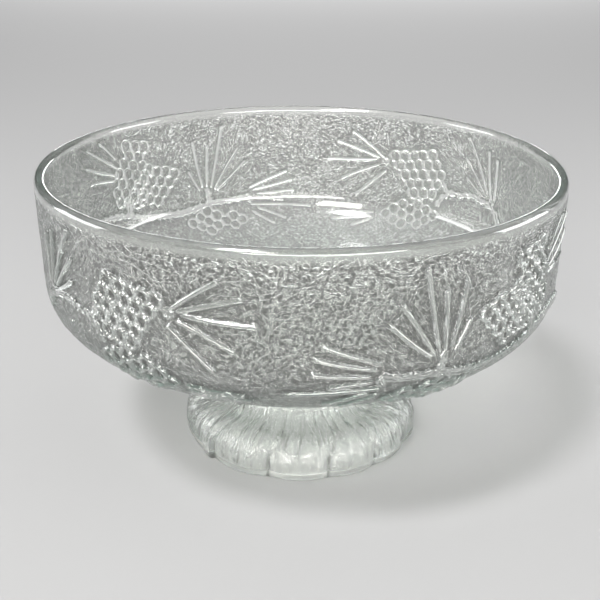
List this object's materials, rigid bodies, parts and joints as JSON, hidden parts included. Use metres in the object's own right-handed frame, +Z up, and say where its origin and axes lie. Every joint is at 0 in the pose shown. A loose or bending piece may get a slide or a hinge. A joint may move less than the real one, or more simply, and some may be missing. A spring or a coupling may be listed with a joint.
{
  "type": "footed punch bowl",
  "caption": "Footed pressed-glass punch bowl with a straight side, rounded floor, raised pine decoration and a hollow, scalloped foot.",
  "frame": {"origin": "on the table, in the middle under the bowl's axis: the bottom centre of the bounding box", "axes": "+Z up along the axis round which bowl and foot are turned, which the decoration repeats about only by half turns; -Y is the front, facing the gap between two sprigs of the decoration, whose middle lies about 6 degrees towards -X; +X is to the right seen from the front"},
  "size_m": [0.26, 0.2602, 0.148],
  "materials": {
    "bowl_glass": "clear with a slight green tint; smooth inside, finely stippled outside",
    "foot_glass": "clear with a slight green tint, finely ridged outside"
  },
  "bodies": {
    "root": {"bowl": "bowl_glass", "foot": "foot_glass"}
  },
  "joints": []
}
